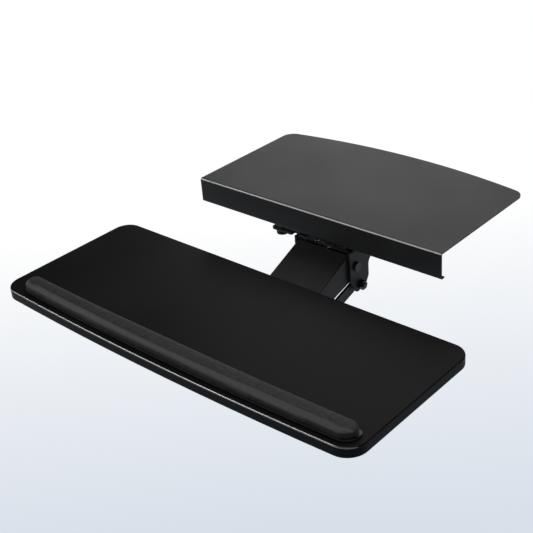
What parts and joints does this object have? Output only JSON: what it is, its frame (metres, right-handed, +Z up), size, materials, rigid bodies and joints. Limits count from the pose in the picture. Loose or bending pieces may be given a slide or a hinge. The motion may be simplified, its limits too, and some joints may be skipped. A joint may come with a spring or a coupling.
{
  "type": "keyboard tray under desk",
  "caption": "Keyboard tray on a sliding, turning lift arm, hung from a corner sleeve that wraps a desk's front edge, with a soft wrist rest along the front.",
  "frame": {"origin": "on the swivel axis, on the underside of the sleeve's top plate, which lies on the desk top; at rest the slide is pulled out to its front stop", "axes": "+Z up, +Y in under the desk, +X to the user's right"},
  "size_m": [0.635, 0.6041, 0.1726],
  "materials": {
    "black_steel": "fine satin black powder coat",
    "zinc_steel": "zinc plated",
    "black_oxide": "oil black",
    "spring_steel": "oiled spring wire",
    "bumper_rubber": "matte",
    "nylon": "natural nylon",
    "black_plastic": "fine grained moulding",
    "board_laminate": "fibreboard in satin black laminate with softened edges",
    "pad_fabric": "soft matte black cover",
    "adhesive": "double sided foam strip"
  },
  "bodies": {
    "desk_mount": {"corner_sleeve": "black_steel", "track": "black_steel", "track_rivets": "zinc_steel", "track_stops": "zinc_steel", "stop_bumpers": "bumper_rubber"},
    "carriage": {"slider_plate": "zinc_steel", "glide_shoes": "nylon", "carriage_spacer": "zinc_steel", "carriage_plate": "black_steel", "carriage_screws": "zinc_steel", "slide_lock_nut": "zinc_steel", "swivel_race": "zinc_steel", "swivel_bolt": "zinc_steel", "swivel_bolt_washer": "zinc_steel"},
    "slide_lock": {"slide_lock_knob": "black_plastic", "slide_lock_stud": "zinc_steel", "slide_lock_tip": "nylon"},
    "head": {"swivel_head": "black_steel", "swivel_washer": "nylon", "rear_upper_bolt": "black_oxide", "rear_upper_nut": "black_oxide", "rear_lower_bolt": "black_oxide", "rear_lower_nut": "black_oxide"},
    "arm": {"lift_arm": "black_steel", "arm_rear_bush": "zinc_steel", "arm_front_bush": "zinc_steel", "lift_springs": "spring_steel"},
    "link": {"lower_link_right": "black_steel", "lower_link_left": "black_steel", "link_rear_bush": "zinc_steel", "link_front_bush": "zinc_steel"},
    "front_head": {"front_bracket": "black_steel", "front_upper_bolt": "black_oxide", "front_upper_nut": "black_oxide", "front_lower_bolt": "black_oxide", "front_lower_nut": "black_oxide", "tilt_bolt": "black_oxide", "tilt_spacer": "zinc_steel", "tilt_washer": "zinc_steel"},
    "tilt_knob": {"tilt_knob": "black_plastic", "tilt_knob_insert": "zinc_steel"},
    "tray": {"tray_bracket": "black_steel", "tray_screws": "zinc_steel", "tray_board": "board_laminate", "wrist_rest_base": "black_plastic", "wrist_rest_pad": "pad_fabric", "rest_strips": "adhesive"}
  },
  "joints": [
    {"name": "track_slide", "type": "slide", "parent": "desk_mount", "child": "carriage", "axis": [0, 1, 0], "range_m": [0, 0.15]},
    {"name": "slide_lock_turn", "type": "hinge", "parent": "carriage", "child": "slide_lock", "pos_m": [-0.074, -0.046, -0.055], "axis": [0, 0, 1], "range_deg": [0, 180]},
    {"name": "swivel", "type": "hinge", "parent": "carriage", "child": "head", "pos_m": [0, 0, -0.06], "axis": [0, 0, 1], "continuous": true},
    {"name": "arm_lift", "type": "hinge", "parent": "head", "child": "arm", "pos_m": [0, -0.0312, -0.0857], "axis": [1, 0, 0], "range_deg": [-6, 23]},
    {"name": "link_swing", "type": "hinge", "parent": "head", "child": "link", "pos_m": [0, -0.0216, -0.1206], "axis": [1, 0, 0], "range_deg": [-6, 23]},
    {"name": "head_level", "type": "hinge", "parent": "arm", "child": "front_head", "pos_m": [0, -0.15552, -0.12371], "axis": [1, 0, 0], "range_deg": [-23, 6]},
    {"name": "tray_tilt", "type": "hinge", "parent": "front_head", "child": "tray", "pos_m": [0, -0.15552, -0.12371], "axis": [1, 0, 0], "range_deg": [-5, 15]},
    {"name": "tilt_knob_turn", "type": "hinge", "parent": "front_head", "child": "tilt_knob", "pos_m": [0.06, -0.18836, -0.13251], "axis": [1, 0, 0], "range_deg": [0, 180]}
  ],
  "couplings": [
    {"joint": "link_swing", "follows": "arm_lift", "ratio": 1},
    {"joint": "head_level", "follows": "arm_lift", "ratio": -1}
  ]
}
